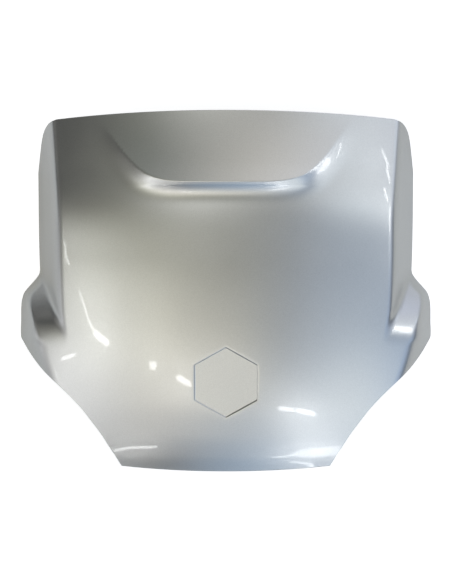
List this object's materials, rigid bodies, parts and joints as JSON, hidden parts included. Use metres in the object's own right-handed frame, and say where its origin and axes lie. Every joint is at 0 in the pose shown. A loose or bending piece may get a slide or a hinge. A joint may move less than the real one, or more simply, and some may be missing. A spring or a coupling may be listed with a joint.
{
  "type": "scooter fairing panel",
  "caption": "Crowned one-piece plastic fairing panel with side walls, wings, a raised front step, an empty hexagonal badge seat and screw bosses beneath.",
  "frame": {"origin": "middle of the rectangle that the panel covers, on the plane of its side rims", "axes": "+X across the panel, +Y towards the raised front edge, +Z out of the painted side"},
  "size_m": [0.4106, 0.342, 0.1],
  "materials": {
    "silver_paint": "silver metallic base coat under clear lacquer, on injection-moulded plastic"
  },
  "bodies": {
    "root": {"fairing_panel": "silver_paint"}
  },
  "joints": []
}
